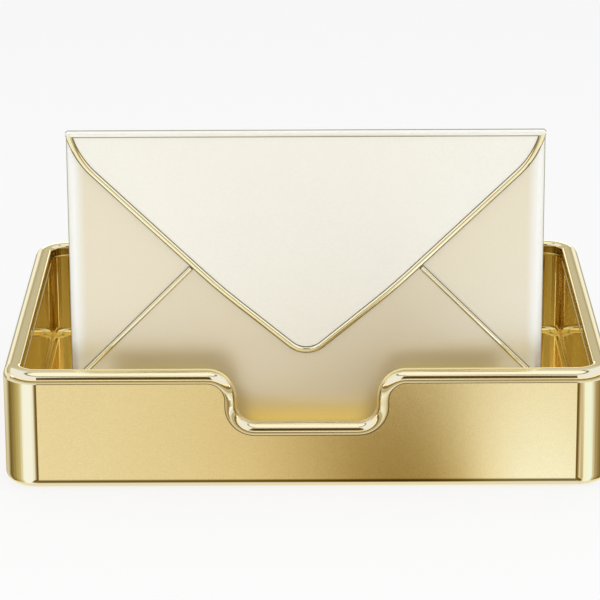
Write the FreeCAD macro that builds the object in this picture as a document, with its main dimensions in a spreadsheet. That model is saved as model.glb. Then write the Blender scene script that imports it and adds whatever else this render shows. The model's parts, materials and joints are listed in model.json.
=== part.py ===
import FreeCAD, Part
import math
import os
import Sketcher
from FreeCAD import Placement, Rotation, Vector

# A desk tray for mail: a cast tray with thick rounded walls and a finger notch, and an
# envelope-shaped letter case that stands in a channel just behind the front wall.
# The case lifts out of its channel, and its flap swings up on a hinge along its top.
#
# Millimetres, +Z up, +Y to the back. The origin is under the middle of the tray, on the desk.

SIZES = [
    # tray
    ("tray_width", 294.0, "over the side walls"),
    ("tray_depth", 230.0, "over the front and back walls"),
    ("tray_height", 59.0, "underside to rim"),
    ("tray_wall", 8.9, "wall thickness"),
    ("tray_corner_radius", 17.2, "outer corner in plan"),
    ("rim_outer_radius", 5.6, "rounding of the rim on the outside"),
    ("rim_inner_radius", 2.4, "rounding of the rim on the inside"),
    ("base_edge_radius", 5.0, "rounding of the outer bottom edge"),
    ("floor_top", 9.0, "underside to the top of the floor"),
    ("floor_corner_radius", 3.0, "rounding where the walls meet the floor"),
    ("notch_half_width", 34.0, "middle of the notch to its side"),
    ("notch_bottom", 32.7, "underside to the bottom of the notch"),
    ("notch_top_radius", 14.0, "where the notch runs out into the rim"),
    ("notch_bottom_radius", 9.0, "in the lower corners of the notch"),
    ("base_land", 12.0, "width of the ring left round the underside recess"),
    ("base_recess", 4.2, "depth of the underside recess"),
    # feet
    ("foot_proud", 1.5, "how far the feet stand below the tray"),
    ("foot_radius", 8.0, ""),
    ("foot_inset", 26.0, "foot centre to the outer faces of the tray"),
    # channel that the letter case stands in
    ("channel_length", 180.0, ""),
    ("channel_wall", 1.6, ""),
    ("channel_base", 1.2, ""),
    ("channel_height", 10.0, ""),
    ("channel_gap", 0.4, "play of the case on each side"),
    ("channel_edge_radius", 0.5, "rounding of the channel's upper edges"),
    ("channel_screw_pitch", 120.0, ""),
    ("channel_screw_radius", 1.25, ""),
    ("channel_screw_grip", 4.0, "screw length in the tray's floor"),
    ("channel_head_radius", 2.15, "countersunk head"),
    ("strip_thickness", 0.3, "rubber strip in the channel"),
    ("seat_gap", 0.3, "letter case above its strip"),
    ("hole_clearance", 0.05, "added to the radius of each hole round its screw or pin"),
    ("hole_spare_depth", 0.2, "blind hole past the end of its screw"),
    # letter case
    ("case_gap", 15.0, "front wall to the face of the closed flap"),
    ("case_width", 229.0, ""),
    ("case_height", 162.0, ""),
    ("back_sheet", 0.8, "thickness of the back panel and its knuckles"),
    ("front_sheet", 0.6, "thickness of the side and bottom flaps"),
    ("pocket_depth", 6.4, "clear space for letters, back to front"),
    ("nose_radius", 3.7, "rounding of the case's outer edge"),
    ("nose_width", 3.9, "edge rail outside the sheets"),
    ("tongue_width", 3.0, "edge rail between the sheets"),
    ("rail_top_gap", 4.4, "top of the case to the top of the side rails"),
    ("side_flap_reach", 88.6, "side flap's point from its root"),
    ("side_flap_rise", 96.0, "side flap's point above its root"),
    ("side_flap_tip_radius", 8.0, ""),
    ("seam_side_height", 34.4, "where the line of a seam meets the side of the case"),
    ("seam_angle", 45.0, "slope of the seams, in degrees"),
    ("seam_half_width", 1.2, "edge wire on a seam"),
    ("seam_height", 1.6, ""),
    ("seam_round", 0.9, ""),
    ("seam_end_gap", 0.6, "seam wire to the flap's edge bead"),
    ("mouth_height", 108.9, "bottom of the case to the top of the bottom flap"),
    ("mouth_corner_radius", 6.0, ""),
    # flap
    ("flap_sheet", 0.8, ""),
    ("flap_gap", 0.3, "closed flap to the bottom flap"),
    ("flap_point_depth", 113.5, "top of the case to where the flap's edges would meet"),
    ("flap_point_radius", 12.0, ""),
    ("flap_waist_x", 42.0, "slight bend in the flap's edge"),
    ("flap_waist_depth", 78.6, ""),
    ("flap_waist_radius", 300.0, ""),
    ("flap_shoulder_inset", 5.6, "bend in the flap's edge near the top corner"),
    ("flap_shoulder_depth", 14.1, ""),
    ("flap_shoulder_radius", 42.0, ""),
    ("flap_end_inset", 1.5, "end of the flap's edge, at the fold, to the side of the case"),
    ("fold_radius", 1.8, "bead along the flap's fold"),
    ("fold_end_chamfer", 0.9, "edge broken off that bead's ends"),
    ("fold_drop", 2.7, "top of the fold bead to the top of the hinge"),
    ("bead_radius", 1.7, "edge bead of the flap"),
    ("bead_proud", 1.3, "both beads in front of the flap's face"),
    # hinge
    ("pin_radius", 0.6, ""),
    ("pin_head_radius", 1.2, ""),
    ("pin_head", 1.0, "thickness of the pin's head"),
    ("hinge_inset", 5.75, "end of the hinge to the side of the case"),
    ("knuckle_gap", 0.3, "between neighbouring knuckles"),
    ("hinge_clearance", 0.3, "cut-outs round the knuckles"),
]

FIXED_KNUCKLES = 3
MOVING_KNUCKLES = FIXED_KNUCKLES - 1
CHANNEL_SCREWS = 2

doc = FreeCAD.newDocument("MailTray")
sheet = doc.addObject("Spreadsheet::Sheet", "Sizes")
for row, (alias, value, note) in enumerate(SIZES, 1):
    sheet.set("A%d" % row, alias)
    sheet.set("B%d" % row, str(value))
    sheet.set("C%d" % row, note)
    sheet.setAlias("B%d" % row, alias)
doc.recompute()


# Sizes that follow from the driving ones, as expressions over the sheet.
def sized(expression):
    """Write each alias in an expression as a cell of the sheet."""
    for alias, _, _ in sorted(SIZES, key=lambda size: -len(size[0])):
        expression = expression.replace("<%s>" % alias, "Sizes.%s" % alias)
    return expression


HALF_CASE = sized("(<case_width> / 2)")
SIDE_FACE = sized("<back_sheet> + <pocket_depth> + <front_sheet>")
CASE_FRONT = sized("<back_sheet> + <pocket_depth> + 2 * <front_sheet>")
FLAP_BACK = sized("%s + <flap_gap>" % CASE_FRONT)
FLAP_FRONT = sized("%s + <flap_sheet>" % FLAP_BACK)
SHEET_EDGE = sized("(%s - <nose_width>)" % HALF_CASE)
RAIL_REACH = sized("(<nose_width> + <tongue_width>)")
RAIL_TOP = sized("(<case_height> - <rail_top_gap>)")
KNUCKLE_RADIUS = sized("(<pin_radius> + <back_sheet>)")
HINGE_HEIGHT = sized("(<case_height> - <fold_drop> - %s)" % KNUCKLE_RADIUS)
FOLD_HEIGHT = sized("<case_height> - <fold_radius>")
FOLD_CENTRE = sized("%s + <bead_proud> - <fold_radius>" % FLAP_FRONT)
BEAD_CENTRE = sized("%s + <bead_proud> - <bead_radius>" % FLAP_FRONT)
BARREL_HALF = sized("(%s - <hinge_inset>)" % HALF_CASE)
KNUCKLE_PITCH = "(2 * %s / %d)" % (BARREL_HALF, FIXED_KNUCKLES + MOVING_KNUCKLES)
CASE_BACK_Y = sized("-<tray_depth> / 2 + <tray_wall> + <case_gap> + %s" % FLAP_FRONT)
CASE_BOTTOM_Z = sized("<foot_proud> + <floor_top> + <channel_base> + <strip_thickness> + <seat_gap>")
CHANNEL_Y = sized("%s - (%s) / 2" % (CASE_BACK_Y, CASE_FRONT))
FLOOR_Z = sized("<foot_proud> + <floor_top>")


def number(expression):
    """The value of an expression over the sheet, as a plain number."""
    return float(sheet.evalExpression(expression))


def negative(expression):
    return "-(%s)" % expression


def new_body(name):
    body = doc.addObject("PartDesign::Body", name)
    body.Label = name
    return body


def new_sketch(body, name, plane, offset="0"):
    """A sketch on one of the body's own origin planes, moved along its normal."""
    sketch = body.newObject("Sketcher::SketchObject", name)
    support = next(f for f in body.Origin.OriginFeatures if f.Role == plane)
    sketch.AttachmentSupport = [(support, "")]
    sketch.MapMode = "FlatFace"
    sketch.setExpression("AttachmentOffset.Base.z", offset)
    return sketch


def fix_point(sketch, geometry, vertex, corner):
    """Dimension a point from the sketch's origin, on an axis where a coordinate is 0."""
    for kind, axis, expression in (("DistanceX", -2, corner[0]), ("DistanceY", -1, corner[1])):
        value = number(expression)
        if abs(value) < 1e-9:
            sketch.addConstraint(Sketcher.Constraint("PointOnObject", geometry, vertex, axis))
            continue
        index = sketch.addConstraint(Sketcher.Constraint(kind, -1, 1, geometry, vertex, value))
        sketch.setExpression("Constraints[%d]" % index, expression)


def draw(sketch, corners, closed=True):
    """Draw straight runs through corners (x, y) or (x, y, radius), each an expression.

    A corner with a radius becomes an arc tangent to both runs beside it.
    """
    points = [Vector(number(corner[0]), number(corner[1]), 0) for corner in corners]
    count = len(points)
    starts = list(points)
    ends = list(points)
    arcs = {}
    for i, corner in enumerate(corners):
        if len(corner) == 3:
            radius = number(corner[2])
            arriving = (points[i] - points[i - 1]).normalize()
            leaving = (points[(i + 1) % count] - points[i]).normalize()
            turn = arriving.getAngle(leaving)
            left = arriving.cross(leaving).z > 0
            ends[i] = points[i] - arriving * radius * math.tan(turn / 2)
            starts[i] = points[i] + leaving * radius * math.tan(turn / 2)
            inward = Vector(-arriving.y, arriving.x, 0) * (1 if left else -1)
            centre = ends[i] + inward * radius
            first, last = (ends[i], starts[i]) if left else (starts[i], ends[i])
            angles = [math.atan2(p.y - centre.y, p.x - centre.x) for p in (first, last)]
            if angles[1] < angles[0]:
                angles[1] += 2 * math.pi
            circle = Part.Circle(centre, Vector(0, 0, 1), radius)
            arc = sketch.addGeometry(Part.ArcOfCircle(circle, angles[0], angles[1]))
            arcs[i] = (arc, left)
    runs = count if closed else count - 1
    lines = []
    for i in range(runs):
        lines.append(sketch.addGeometry(Part.LineSegment(starts[i], ends[(i + 1) % count])))
    for i, corner in enumerate(corners):
        before = lines[i - 1] if closed or i > 0 else None
        after = lines[i] if i < runs else None
        if i in arcs:
            arc, left = arcs[i]
            enter, leave = (1, 2) if left else (2, 1)
            sketch.addConstraint(Sketcher.Constraint("Tangent", before, 2, arc, enter))
            sketch.addConstraint(Sketcher.Constraint("Tangent", arc, leave, after, 1))
            index = sketch.addConstraint(Sketcher.Constraint("Radius", arc, number(corner[2])))
            sketch.setExpression("Constraints[%d]" % index, corner[2])
            mark = sketch.addGeometry(Part.Point(points[i]), True)
            sketch.addConstraint(Sketcher.Constraint("PointOnObject", mark, 1, before))
            sketch.addConstraint(Sketcher.Constraint("PointOnObject", mark, 1, after))
            fix_point(sketch, mark, 1, corner)
        else:
            if before is not None and after is not None:
                sketch.addConstraint(Sketcher.Constraint("Coincident", before, 2, after, 1))
            if after is not None:
                fix_point(sketch, after, 1, corner)
            else:
                fix_point(sketch, before, 2, corner)


def draw_circle(sketch, centre, radius):
    point = Vector(number(centre[0]), number(centre[1]), 0)
    circle = sketch.addGeometry(Part.Circle(point, Vector(0, 0, 1), number(radius)))
    fix_point(sketch, circle, 3, centre)
    index = sketch.addConstraint(Sketcher.Constraint("Radius", circle, number(radius)))
    sketch.setExpression("Constraints[%d]" % index, radius)


def rectangle(x_low, x_high, y_low, y_high, radius=None):
    """Corners of a rectangle, counter-clockwise, rounded where a radius is given."""
    corners = [(x_low, y_low), (x_high, y_low), (x_high, y_high), (x_low, y_high)]
    if radius is None:
        return corners
    return [corner + (radius,) for corner in corners]


def feature(body, kind, name, sketch, length=None, **settings):
    """A pad, pocket or revolution of a sketch. A pocket has to take material away."""
    made = body.newObject("PartDesign::" + kind, name)
    made.Profile = sketch
    for key, value in settings.items():
        setattr(made, key, value)
    if length is not None:
        made.setExpression("Length", length)
    sketch.Visibility = False
    doc.recompute()
    if kind == "Pocket" and not made.Shape.Volume < made.BaseFeature.Shape.Volume - 1e-6:
        raise RuntimeError("%s cuts nothing" % name)
    return made


def edges_where(shape, test):
    """Names of the edges for which the test holds at both ends and in the middle."""
    names = []
    for index, edge in enumerate(shape.Edges, 1):
        first, last = edge.ParameterRange
        samples = [edge.valueAt(p) for p in (first, (first + last) / 2, last)]
        if all(test(point) for point in samples):
            names.append("Edge%d" % index)
    return names


def fillet(body, name, base, edges, radius):
    made = body.newObject("PartDesign::Fillet", name)
    made.Base = (base, edges)
    made.setExpression("Radius", radius)
    doc.recompute()
    return made


def repeat(body, name, original, axis, length, occurrences):
    """Copies of a feature in a row, the last one at the given distance."""
    made = body.newObject("PartDesign::LinearPattern", name)
    made.Originals = [original]
    made.Direction = axis
    made.setExpression("Length", length)
    made.Occurrences = occurrences
    body.Tip = made
    doc.recompute()
    return made


def place(body, x="0", y="0", z="0", rotation=Rotation()):
    """Set a sub-part where it belongs and bind its position to the sheet."""
    body.Placement = Placement(Vector(number(x), number(y), number(z)), rotation)
    for axis, expression in (("x", x), ("y", y), ("z", z)):
        body.setExpression("Placement.Base." + axis, expression)


# ---------------------------------------------------------------- tray
FOOT_X = sized("<tray_width> / 2 - <foot_inset>")
FOOT_Y = sized("<tray_depth> / 2 - <foot_inset>")


def wall_depth(point):
    """How far a point lies inside the tray's outer faces, in plan."""
    radius = number("Sizes.tray_corner_radius")
    x = abs(point.x) - number("Sizes.tray_width / 2") + radius
    y = abs(point.y) - number("Sizes.tray_depth / 2") + radius
    return radius - math.hypot(max(x, 0), max(y, 0)) - min(max(x, y), 0)


def on_wall(depth, low, high):
    """A test for points at one depth in the wall, between two heights."""
    slack = 0.01
    return lambda p: abs(wall_depth(p) - depth) < slack and low - slack < p.z < high + slack


def make_tray_shell():
    body = new_body("tray_shell")
    half_x = sized("<tray_width> / 2")
    half_y = sized("<tray_depth> / 2")

    plan = new_sketch(body, "tray_plan", "XY_Plane")
    draw(plan, rectangle(negative(half_x), half_x, negative(half_y), half_y,
                         sized("<tray_corner_radius>")))
    feature(body, "Pad", "tray_block", plan, sized("<tray_height>"))

    inner_x = sized("(%s - <tray_wall>)" % half_x)
    inner_y = sized("(%s - <tray_wall>)" % half_y)
    hollow = new_sketch(body, "tray_hollow_plan", "XY_Plane", sized("<tray_height>"))
    draw(hollow, rectangle(negative(inner_x), inner_x, negative(inner_y), inner_y,
                           sized("<tray_corner_radius> - <tray_wall>")))
    feature(body, "Pocket", "tray_hollow", hollow, sized("<tray_height> - <floor_top>"))

    # the notch: rounded lower corners, and sides that run out into the rim in an S
    side = sized("<notch_half_width>")
    rim = sized("<tray_height>")
    low = sized("<notch_bottom>")
    flare = sized("<notch_half_width> + 1.2 * <notch_top_radius>")
    notch = new_sketch(body, "notch_outline", "XZ_Plane")
    above = sized("<tray_height> + <rim_outer_radius>")
    draw(notch, [
        (negative(flare), rim),
        (negative(side), rim, sized("<notch_top_radius>")),
        (negative(side), low, sized("<notch_bottom_radius>")),
        (side, low, sized("<notch_bottom_radius>")),
        (side, rim, sized("<notch_top_radius>")),
        (flare, rim),
        (flare, above),
        (negative(flare), above),
    ])
    cut = feature(body, "Pocket", "finger_notch", notch, Type="ThroughAll", Reversed=True)

    wall = number("Sizes.tray_wall")
    height = number("Sizes.tray_height")
    floor = number("Sizes.floor_top")
    clear_of_base = floor + 1
    rim_out = edges_where(cut.Shape, on_wall(0, clear_of_base, height))
    made = fillet(body, "rim_outside", cut, rim_out, sized("<rim_outer_radius>"))
    rim_in = edges_where(made.Shape, on_wall(wall, clear_of_base, height))
    made = fillet(body, "rim_inside", made, rim_in, sized("<rim_inner_radius>"))
    base_edge = edges_where(made.Shape, on_wall(0, 0, 0))
    made = fillet(body, "base_edge", made, base_edge, sized("<base_edge_radius>"))
    floor_edge = edges_where(made.Shape, on_wall(wall, floor, floor))
    fillet(body, "floor_edge", made, floor_edge, sized("<floor_corner_radius>"))

    recess_x = sized("(%s - <base_land>)" % half_x)
    recess_y = sized("(%s - <base_land>)" % half_y)
    recess = new_sketch(body, "underside_plan", "XY_Plane")
    draw(recess, rectangle(negative(recess_x), recess_x, negative(recess_y), recess_y,
                           sized("<tray_corner_radius> - <base_land>")))
    feature(body, "Pocket", "underside_recess", recess, sized("<base_recess>"), Reversed=True)

    seat_holes = new_sketch(body, "seat_hole_plan", "XY_Plane", sized("<floor_top>"))
    for place_in_row in range(CHANNEL_SCREWS):
        steps = place_in_row - (CHANNEL_SCREWS - 1) / 2
        draw_circle(seat_holes, (sized("%g * <channel_screw_pitch>" % steps), CHANNEL_Y),
                    sized("<channel_screw_radius> + <hole_clearance>"))
    feature(body, "Pocket", "seat_holes", seat_holes,
            sized("<channel_screw_grip> + <hole_spare_depth>"))
    place(body, z=sized("<foot_proud>"))
    return body


# ---------------------------------------------------------------- feet
def make_foot(name, x, y):
    """A round rubber foot, glued into the underside recess."""
    foot = doc.addObject("Part::Cylinder", name)
    foot.Label = name
    foot.setExpression("Radius", sized("<foot_radius>"))
    foot.setExpression("Height", sized("<foot_proud> + <base_recess>"))
    place(foot, x, y)
    doc.recompute()
    return foot


# ---------------------------------------------------------------- channel in the tray
CHANNEL_INNER = sized("((%s) / 2 + <channel_gap>)" % CASE_FRONT)


def make_seat_channel():
    """A U-channel, open upwards, with countersunk holes in its base."""
    body = new_body("seat_channel")
    inner = CHANNEL_INNER
    outer = sized("(%s + <channel_wall>)" % inner)
    base = sized("<channel_base>")
    top = sized("<channel_height>")
    section = new_sketch(body, "channel_section", "YZ_Plane", sized("-<channel_length> / 2"))
    edge = sized("<channel_edge_radius>")
    draw(section, [
        (negative(outer), "0"), (outer, "0"), (outer, top, edge), (inner, top, edge),
        (inner, base), (negative(inner), base), (negative(inner), top, edge), (negative(outer), top, edge),
    ])
    feature(body, "Pad", "channel_bar", section, sized("<channel_length>"))
    first = sized("%g * <channel_screw_pitch>" % (-(CHANNEL_SCREWS - 1) / 2))
    hole = new_sketch(body, "channel_hole_plan", "XY_Plane", base)
    draw_circle(hole, (first, "0"), sized("<channel_screw_radius> + <hole_clearance>"))
    drilled = feature(body, "Pocket", "channel_hole", hole, Type="ThroughAll")
    row = repeat(body, "channel_holes", drilled, (hole, ["H_Axis"]),
                 sized("%d * <channel_screw_pitch>" % (CHANNEL_SCREWS - 1)), CHANNEL_SCREWS)
    base_top = number(base)
    rims = [
        name for name in edges_where(row.Shape, lambda p: abs(p.z - base_top) < 0.01)
        if isinstance(row.Shape.getElement(name).Curve, Part.Circle)
    ]
    sink = body.newObject("PartDesign::Chamfer", "countersinks")
    sink.Base = (row, rims)
    sink.setExpression("Size", sized("<channel_head_radius> - <channel_screw_radius>"))
    doc.recompute()
    place(body, y=CHANNEL_Y, z=FLOOR_Z)
    return body


def make_seat_strip():
    strip = doc.addObject("Part::Box", "seat_strip")
    strip.Label = "seat_strip"
    strip.setExpression("Length", sized("<channel_length>"))
    strip.setExpression("Width", "2 * " + CHANNEL_INNER)
    strip.setExpression("Height", sized("<strip_thickness>"))
    place(strip, sized("-<channel_length> / 2"), "%s - %s" % (CHANNEL_Y, CHANNEL_INNER),
          sized("%s + <channel_base>" % FLOOR_Z))
    doc.recompute()
    return strip


def make_channel_screws():
    """Countersunk screws that hold the channel to the tray's floor."""
    body = new_body("channel_screws")
    profile = new_sketch(body, "channel_screw_profile", "XZ_Plane")
    head = sized("<channel_head_radius>")
    shank = sized("<channel_screw_radius>")
    draw(profile, [
        ("0", sized("-<channel_screw_grip>")),
        (shank, sized("-<channel_screw_grip>")),
        (shank, sized("<channel_base> - (<channel_head_radius> - <channel_screw_radius>)")),
        (head, sized("<channel_base>")),
        ("0", sized("<channel_base>")),
    ])
    turned = feature(body, "Revolution", "channel_screw_turned", profile,
                     ReferenceAxis=(profile, ["V_Axis"]), Angle=360.0)
    repeat(body, "channel_screw_row", turned, (profile, ["H_Axis"]),
           sized("%d * <channel_screw_pitch>" % (CHANNEL_SCREWS - 1)), CHANNEL_SCREWS)
    place(body, sized("%g * <channel_screw_pitch>" % (-(CHANNEL_SCREWS - 1) / 2)), CHANNEL_Y, FLOOR_Z)
    return body


# ---------------------------------------------------------------- letter case
# Each piece of the case is drawn from the middle of the case's bottom edge, on the outer
# face of its back panel. Its thickness runs towards the front.
def place_in_case(part):
    place(part, y=CASE_BACK_Y, z=CASE_BOTTOM_Z)


# clear space round a knuckle, in section, and the height below which a piece clears them all
ROOM = sized("(%s + <hinge_clearance>)" % KNUCKLE_RADIUS)
BELOW_HINGE = "%s - %s" % (HINGE_HEIGHT, ROOM)
HINGE_ROOM = rectangle(negative(ROOM), ROOM, BELOW_HINGE, "%s + %s" % (HINGE_HEIGHT, ROOM))


def cut_outlines(body, name, outlines):
    """Cut right through the case's thickness along closed outlines."""
    sketch = new_sketch(body, name + "_outline", "XZ_Plane")
    for outline in outlines:
        draw(sketch, outline)
    feature(body, "Pocket", name, sketch, Type="ThroughAll", Reversed=True)


def rail_section(edge, inward):
    """Corners of an edge rail, a rounded nose outside and a tongue between the sheets.

    They run from the given outer edge in the given direction, and from the back to the front.
    """
    shoulder = "%s + %s" % (edge, inward(sized("<nose_width>")))
    tongue = "%s + %s" % (edge, inward(RAIL_REACH))
    sheet_back = negative(sized("<back_sheet>"))
    sheet_front = negative(sized("<back_sheet> + <pocket_depth>"))
    case_front = negative(SIDE_FACE)
    nose = sized("<nose_radius>")
    return [
        (edge, "0", nose), (edge, case_front, nose),
        (shoulder, case_front), (shoulder, sheet_front), (tongue, sheet_front),
        (tongue, sheet_back), (shoulder, sheet_back), (shoulder, "0"),
    ]


def make_side_rail(name, side):
    body = new_body(name)
    outward = str if side > 0 else negative
    inward = negative if side > 0 else str
    section = new_sketch(body, name + "_section", "XY_Plane")
    draw(section, rail_section(outward(HALF_CASE), inward))
    feature(body, "Pad", name + "_bar", section, RAIL_TOP)
    # a mitre at the foot, and the tongue stops short of the hinge
    past_tongue = sized("(%s + <hinge_clearance>)" % RAIL_REACH)
    inner = outward("(%s - %s)" % (HALF_CASE, past_tongue))
    cut_outlines(body, name + "_cuts", [
        [(outward(HALF_CASE), "0"), (inner, "0"), (inner, past_tongue)],
        rectangle(inner, outward(SHEET_EDGE), BELOW_HINGE, sized("%s + <hinge_clearance>" % RAIL_TOP)),
    ])
    place_in_case(body)
    return body


def make_bottom_rail():
    body = new_body("bottom_rail")
    section = new_sketch(body, "bottom_rail_section", "YZ_Plane", negative(HALF_CASE))
    draw(section, [corner[1::-1] + corner[2:] for corner in rail_section("0", str)])
    feature(body, "Pad", "bottom_rail_bar", section, sized("<case_width>"))
    past_tongue = sized("(%s + <hinge_clearance>)" % RAIL_REACH)
    inner = "(%s - %s)" % (HALF_CASE, past_tongue)
    cut_outlines(body, "bottom_rail_mitres", [
        [(outward(HALF_CASE), "0"), (outward(HALF_CASE), past_tongue), (outward(inner), past_tongue)]
        for outward in (str, negative)
    ])
    place_in_case(body)
    return body


def add_knuckles(body, name, first, count):
    """Knuckles in every second place of the hinge, from the given place on."""
    start = sized("-%s + %d * %s + <knuckle_gap> / 2" % (BARREL_HALF, first, KNUCKLE_PITCH))
    ring = new_sketch(body, name + "_ring", "YZ_Plane", start)
    draw_circle(ring, ("0", HINGE_HEIGHT), KNUCKLE_RADIUS)
    knuckle = feature(body, "Pad", name, ring, sized("%s - <knuckle_gap>" % KNUCKLE_PITCH))
    return repeat(body, name + "_row", knuckle, (ring, ["N_Axis"]),
                  "%d * %s" % (2 * (count - 1), KNUCKLE_PITCH), count)


def clear_knuckles(body, name, first, count, corners):
    """Room for the other leaf's knuckles, in every second place of the hinge."""
    start = sized("-%s + %d * %s - <knuckle_gap> / 2" % (BARREL_HALF, first, KNUCKLE_PITCH))
    window = new_sketch(body, name + "_window", "YZ_Plane", start)
    draw(window, corners)
    length = sized("%s + <knuckle_gap>" % KNUCKLE_PITCH)
    cut = feature(body, "Pocket", name, window, length, Reversed=True)
    return repeat(body, name + "_row", cut, (window, ["N_Axis"]),
                  "%d * %s" % (2 * (count - 1), KNUCKLE_PITCH), count)


def bore_for_pin(body, name):
    bore = new_sketch(body, name + "_circle", "YZ_Plane")
    draw_circle(bore, ("0", HINGE_HEIGHT), sized("<pin_radius> + <hole_clearance>"))
    feature(body, "Pocket", name, bore, Type="ThroughAll", Midplane=True)


def make_envelope_back():
    """Back panel, rolled into knuckles along its top edge."""
    body = new_body("envelope_back")
    panel = new_sketch(body, "back_outline", "XZ_Plane")
    low = sized("<nose_width>")
    barrel_end = sized("(%s - <knuckle_gap> / 2)" % BARREL_HALF)
    draw(panel, [
        (negative(SHEET_EDGE), low), (SHEET_EDGE, low), (SHEET_EDGE, BELOW_HINGE),
        (barrel_end, BELOW_HINGE), (barrel_end, HINGE_HEIGHT),
        (negative(barrel_end), HINGE_HEIGHT), (negative(barrel_end), BELOW_HINGE),
        (negative(SHEET_EDGE), BELOW_HINGE),
    ])
    feature(body, "Pad", "back_panel", panel, sized("<back_sheet>"))
    clear_knuckles(body, "back_windows", 1, MOVING_KNUCKLES, HINGE_ROOM)
    add_knuckles(body, "back_knuckle", 0, FIXED_KNUCKLES)
    bore_for_pin(body, "back_bore")
    place_in_case(body)
    return body


def make_side_flap(name, side):
    body = new_body(name)
    outline = new_sketch(body, name + "_outline", "XZ_Plane", sized("<back_sheet> + <pocket_depth>"))
    root = SHEET_EDGE if side > 0 else negative(SHEET_EDGE)
    reach = sized("%s - <side_flap_reach>" % SHEET_EDGE)
    point = reach if side > 0 else negative(reach)
    draw(outline, [
        (root, sized("<nose_width>")),
        (point, sized("<nose_width> + <side_flap_rise>"), sized("<side_flap_tip_radius>")),
        (root, RAIL_TOP),
    ])
    feature(body, "Pad", name + "_panel", outline, sized("<front_sheet>"))
    place_in_case(body)
    return body


def make_bottom_flap():
    body = new_body("bottom_flap")
    outline = new_sketch(body, "bottom_flap_outline", "XZ_Plane",
                         sized("<back_sheet> + <pocket_depth> + <front_sheet>"))
    # the seam wires lie against the sloping edges, so those are set in by half a wire
    inset = sized("<seam_half_width> / cos(<seam_angle> * 1 deg)")
    shoulder = sized("<seam_side_height> + <nose_width> * tan(<seam_angle> * 1 deg) - %s" % inset)
    mouth = sized("<mouth_height>")
    rise = sized("(<mouth_height> - <seam_side_height> + %s) / tan(<seam_angle> * 1 deg)" % inset)
    mouth_half = sized("%s - %s" % (HALF_CASE, rise))
    low = sized("<nose_width>")
    rounding = sized("<mouth_corner_radius>")
    draw(outline, [
        (negative(SHEET_EDGE), low), (SHEET_EDGE, low), (SHEET_EDGE, shoulder),
        (mouth_half, mouth, rounding), (negative(mouth_half), mouth, rounding),
        (negative(SHEET_EDGE), shoulder),
    ])
    feature(body, "Pad", "bottom_flap_panel", outline, sized("<front_sheet>"))
    place_in_case(body)
    return body


def seam_length():
    """Length of a seam wire, from the side rail up to just short of the flap's edge bead."""
    half_case = number(HALF_CASE)
    height = number("Sizes.case_height")
    slope = math.tan(math.radians(number("Sizes.seam_angle")))
    waist = Vector(number("Sizes.flap_waist_x"), height - number("Sizes.flap_waist_depth"), 0)
    shoulder = Vector(half_case - number("Sizes.flap_shoulder_inset"),
                      height - number("Sizes.flap_shoulder_depth"), 0)
    edge_slope = (shoulder.y - waist.y) / (shoulder.x - waist.x)
    side_height = number("Sizes.seam_side_height")
    meet = (side_height + slope * half_case - waist.y + edge_slope * waist.x) / (edge_slope + slope)
    run = (number(SHEET_EDGE) - meet) / math.cos(math.radians(number("Sizes.seam_angle")))
    return run - number("Sizes.bead_radius") - number("Sizes.seam_end_gap")


def make_seam_trim(name, side):
    """Half-round wire on the side flap, along the sloping edge of the bottom flap."""
    body = new_body(name)
    section = new_sketch(body, name + "_section", "YZ_Plane")
    half = sized("<seam_half_width>")
    rounding = sized("<seam_round>")
    front = negative(sized("<seam_height>"))
    draw(section, [
        ("0", negative(half)), ("0", half), (front, half, rounding), (front, negative(half), rounding),
    ])
    wire = feature(body, "Pad", name + "_wire", section)
    wire.Length = seam_length()
    doc.recompute()
    angle = number("Sizes.seam_angle")
    rotation = Rotation(Vector(0, 1, 0), -angle if side < 0 else angle - 180)
    start = SHEET_EDGE if side > 0 else negative(SHEET_EDGE)
    place(body, start, "%s - (%s)" % (CASE_BACK_Y, SIDE_FACE),
          sized("%s + <seam_side_height> + <nose_width> * tan(<seam_angle> * 1 deg)" % CASE_BOTTOM_Z),
          rotation)
    return body


def make_hinge_pin():
    """Long pin with a flat head at each end, turned about its own axis."""
    body = new_body("hinge_pin")
    profile = new_sketch(body, "pin_profile", "XZ_Plane")
    end = sized("(%s + <pin_head>)" % BARREL_HALF)
    radius = sized("<pin_radius>")
    head = sized("<pin_head_radius>")
    draw(profile, [
        (negative(end), "0"), (negative(end), head), (negative(BARREL_HALF), head),
        (negative(BARREL_HALF), radius), (BARREL_HALF, radius), (BARREL_HALF, head),
        (end, head), (end, "0"),
    ])
    feature(body, "Revolution", "pin_turned", profile, ReferenceAxis=(profile, ["H_Axis"]), Angle=360.0)
    place(body, y=CASE_BACK_Y, z="%s + %s" % (CASE_BOTTOM_Z, HINGE_HEIGHT))
    return body


# ---------------------------------------------------------------- flap
def flap_edge():
    """The flap's free edge from one end of the fold bead to the other, left to right."""
    waist = (sized("<flap_waist_x>"), sized("<case_height> - <flap_waist_depth>"), sized("<flap_waist_radius>"))
    shoulder = (sized("%s - <flap_shoulder_inset>" % HALF_CASE),
                sized("<case_height> - <flap_shoulder_depth>"), sized("<flap_shoulder_radius>"))
    end = (sized("%s - <flap_end_inset>" % HALF_CASE), FOLD_HEIGHT)
    right = [waist, shoulder, end]
    left = [(negative(corner[0]),) + corner[1:] for corner in reversed(right)]
    point = ("0", sized("<case_height> - <flap_point_depth>"), sized("<flap_point_radius>"))
    return left + [point] + right


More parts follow.
